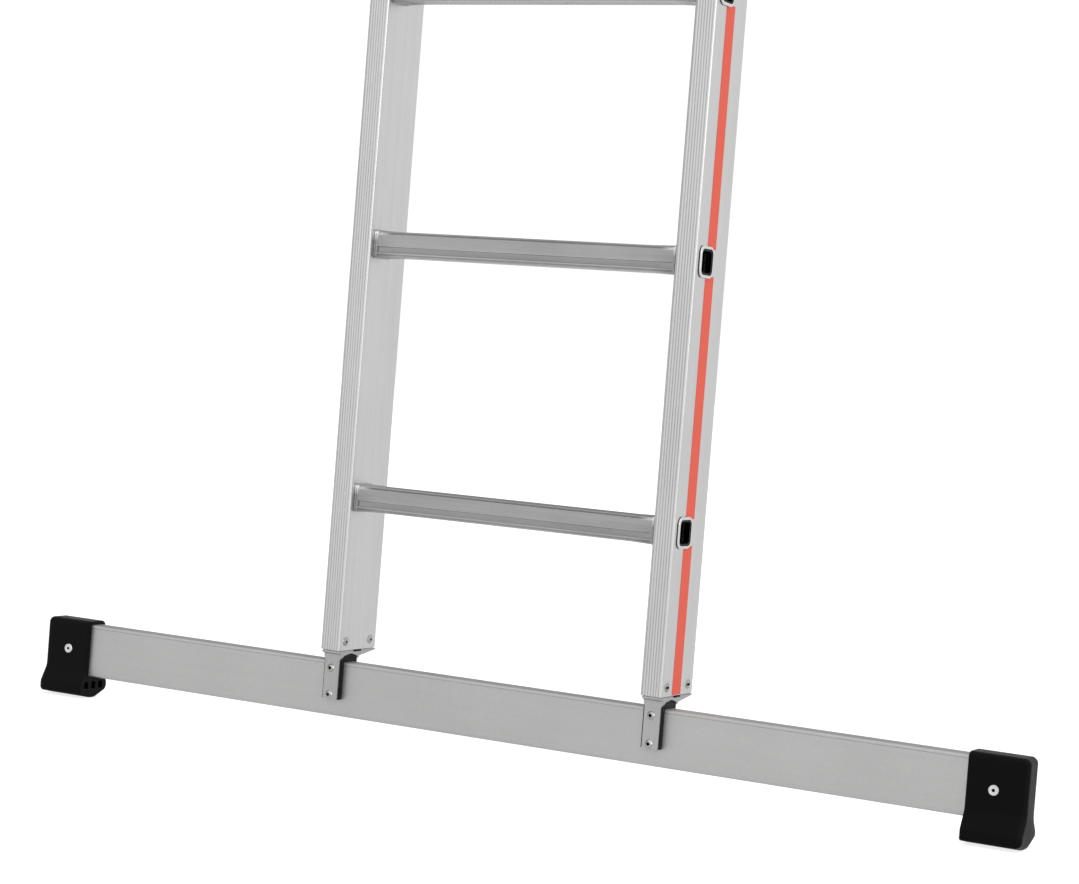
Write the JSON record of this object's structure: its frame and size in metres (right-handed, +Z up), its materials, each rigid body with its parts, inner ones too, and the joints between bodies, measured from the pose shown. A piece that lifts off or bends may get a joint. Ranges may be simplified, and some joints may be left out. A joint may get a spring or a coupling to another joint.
{
  "type": "extension ladder",
  "caption": "Aluminium push-up extension ladder: a base section with a wide stabiliser bar on rubber feet, a sliding fly section in front of it, guide brackets and swinging rung hooks.",
  "frame": {"origin": "on the floor midway between the two feet, in the plane of the base section's front faces", "axes": "+Z up along the stiles, +X along the rungs to the climber's right, +Y from the climbing side towards the wall"},
  "size_m": [1.201, 0.149, 2.9035],
  "materials": {
    "stile_aluminium": "extruded, satin",
    "rung_aluminium": "extruded, fine lines",
    "bracket_aluminium": "pressed sheet, satin",
    "rivet_aluminium": "satin",
    "screw_steel": "zinc plated",
    "red_stripe": "smooth film",
    "black_plastic": "fine moulded grain",
    "foot_rubber": "moulded, slightly worn"
  },
  "bodies": {
    "base": {"base_guide_left": "bracket_aluminium", "base_guide_liner_left": "black_plastic", "base_guide_liner_right": "black_plastic", "base_guide_right": "bracket_aluminium", "base_guide_rivets": "rivet_aluminium", "base_rung_1": "rung_aluminium", "base_rung_2": "rung_aluminium", "base_rung_3": "rung_aluminium", "base_rung_4": "rung_aluminium", "base_rung_5": "rung_aluminium", "base_rung_6": "rung_aluminium", "base_rung_7": "rung_aluminium", "base_rung_plugs": "black_plastic", "base_stile_left": "stile_aluminium", "base_stile_right": "stile_aluminium", "base_stripe_left": "red_stripe", "base_stripe_right": "red_stripe", "base_top_cap_left": "black_plastic", "base_top_cap_right": "black_plastic", "bracket_bolts": "screw_steel", "bracket_left": "bracket_aluminium", "bracket_nuts": "screw_steel", "bracket_right": "bracket_aluminium", "bracket_saddle_left": "black_plastic", "bracket_saddle_right": "black_plastic", "foot_screws": "screw_steel", "stabiliser_bar": "stile_aluminium", "stabiliser_foot_left": "foot_rubber", "stabiliser_foot_right": "foot_rubber", "stile_screws": "screw_steel"},
    "fly": {"fly_bottom_cap_left": "black_plastic", "fly_bottom_cap_right": "black_plastic", "fly_glide_pad_left": "black_plastic", "fly_glide_pad_right": "black_plastic", "fly_guide_left": "bracket_aluminium", "fly_guide_liner_left": "black_plastic", "fly_guide_liner_right": "black_plastic", "fly_guide_right": "bracket_aluminium", "fly_guide_rivets": "rivet_aluminium", "fly_rung_1": "rung_aluminium", "fly_rung_2": "rung_aluminium", "fly_rung_3": "rung_aluminium", "fly_rung_4": "rung_aluminium", "fly_rung_5": "rung_aluminium", "fly_rung_6": "rung_aluminium", "fly_rung_7": "rung_aluminium", "fly_rung_plugs": "black_plastic", "fly_stile_left": "stile_aluminium", "fly_stile_right": "stile_aluminium", "fly_stripe_left": "red_stripe", "fly_stripe_right": "red_stripe", "fly_top_cap_left": "black_plastic", "fly_top_cap_right": "black_plastic", "hook_carrier_left": "bracket_aluminium", "hook_carrier_right": "bracket_aluminium", "hook_carrier_rivets": "rivet_aluminium", "hook_pins": "screw_steel"},
    "hook_left": {"rung_hook_left": "bracket_aluminium"},
    "hook_right": {"rung_hook_right": "bracket_aluminium"}
  },
  "joints": [
    {"name": "fly_slide", "type": "slide", "parent": "base", "child": "fly", "axis": [0, 0, 1], "range_m": [-0.84, 0.56]},
    {"name": "hook_left_pivot", "type": "hinge", "parent": "fly", "child": "hook_left", "pos_m": [-0.17, -0.015, 1.134], "axis": [-1, 0, 0], "range_deg": [0, 90]},
    {"name": "hook_right_pivot", "type": "hinge", "parent": "fly", "child": "hook_right", "pos_m": [0.17, -0.015, 1.134], "axis": [-1, 0, 0], "range_deg": [0, 90]}
  ]
}
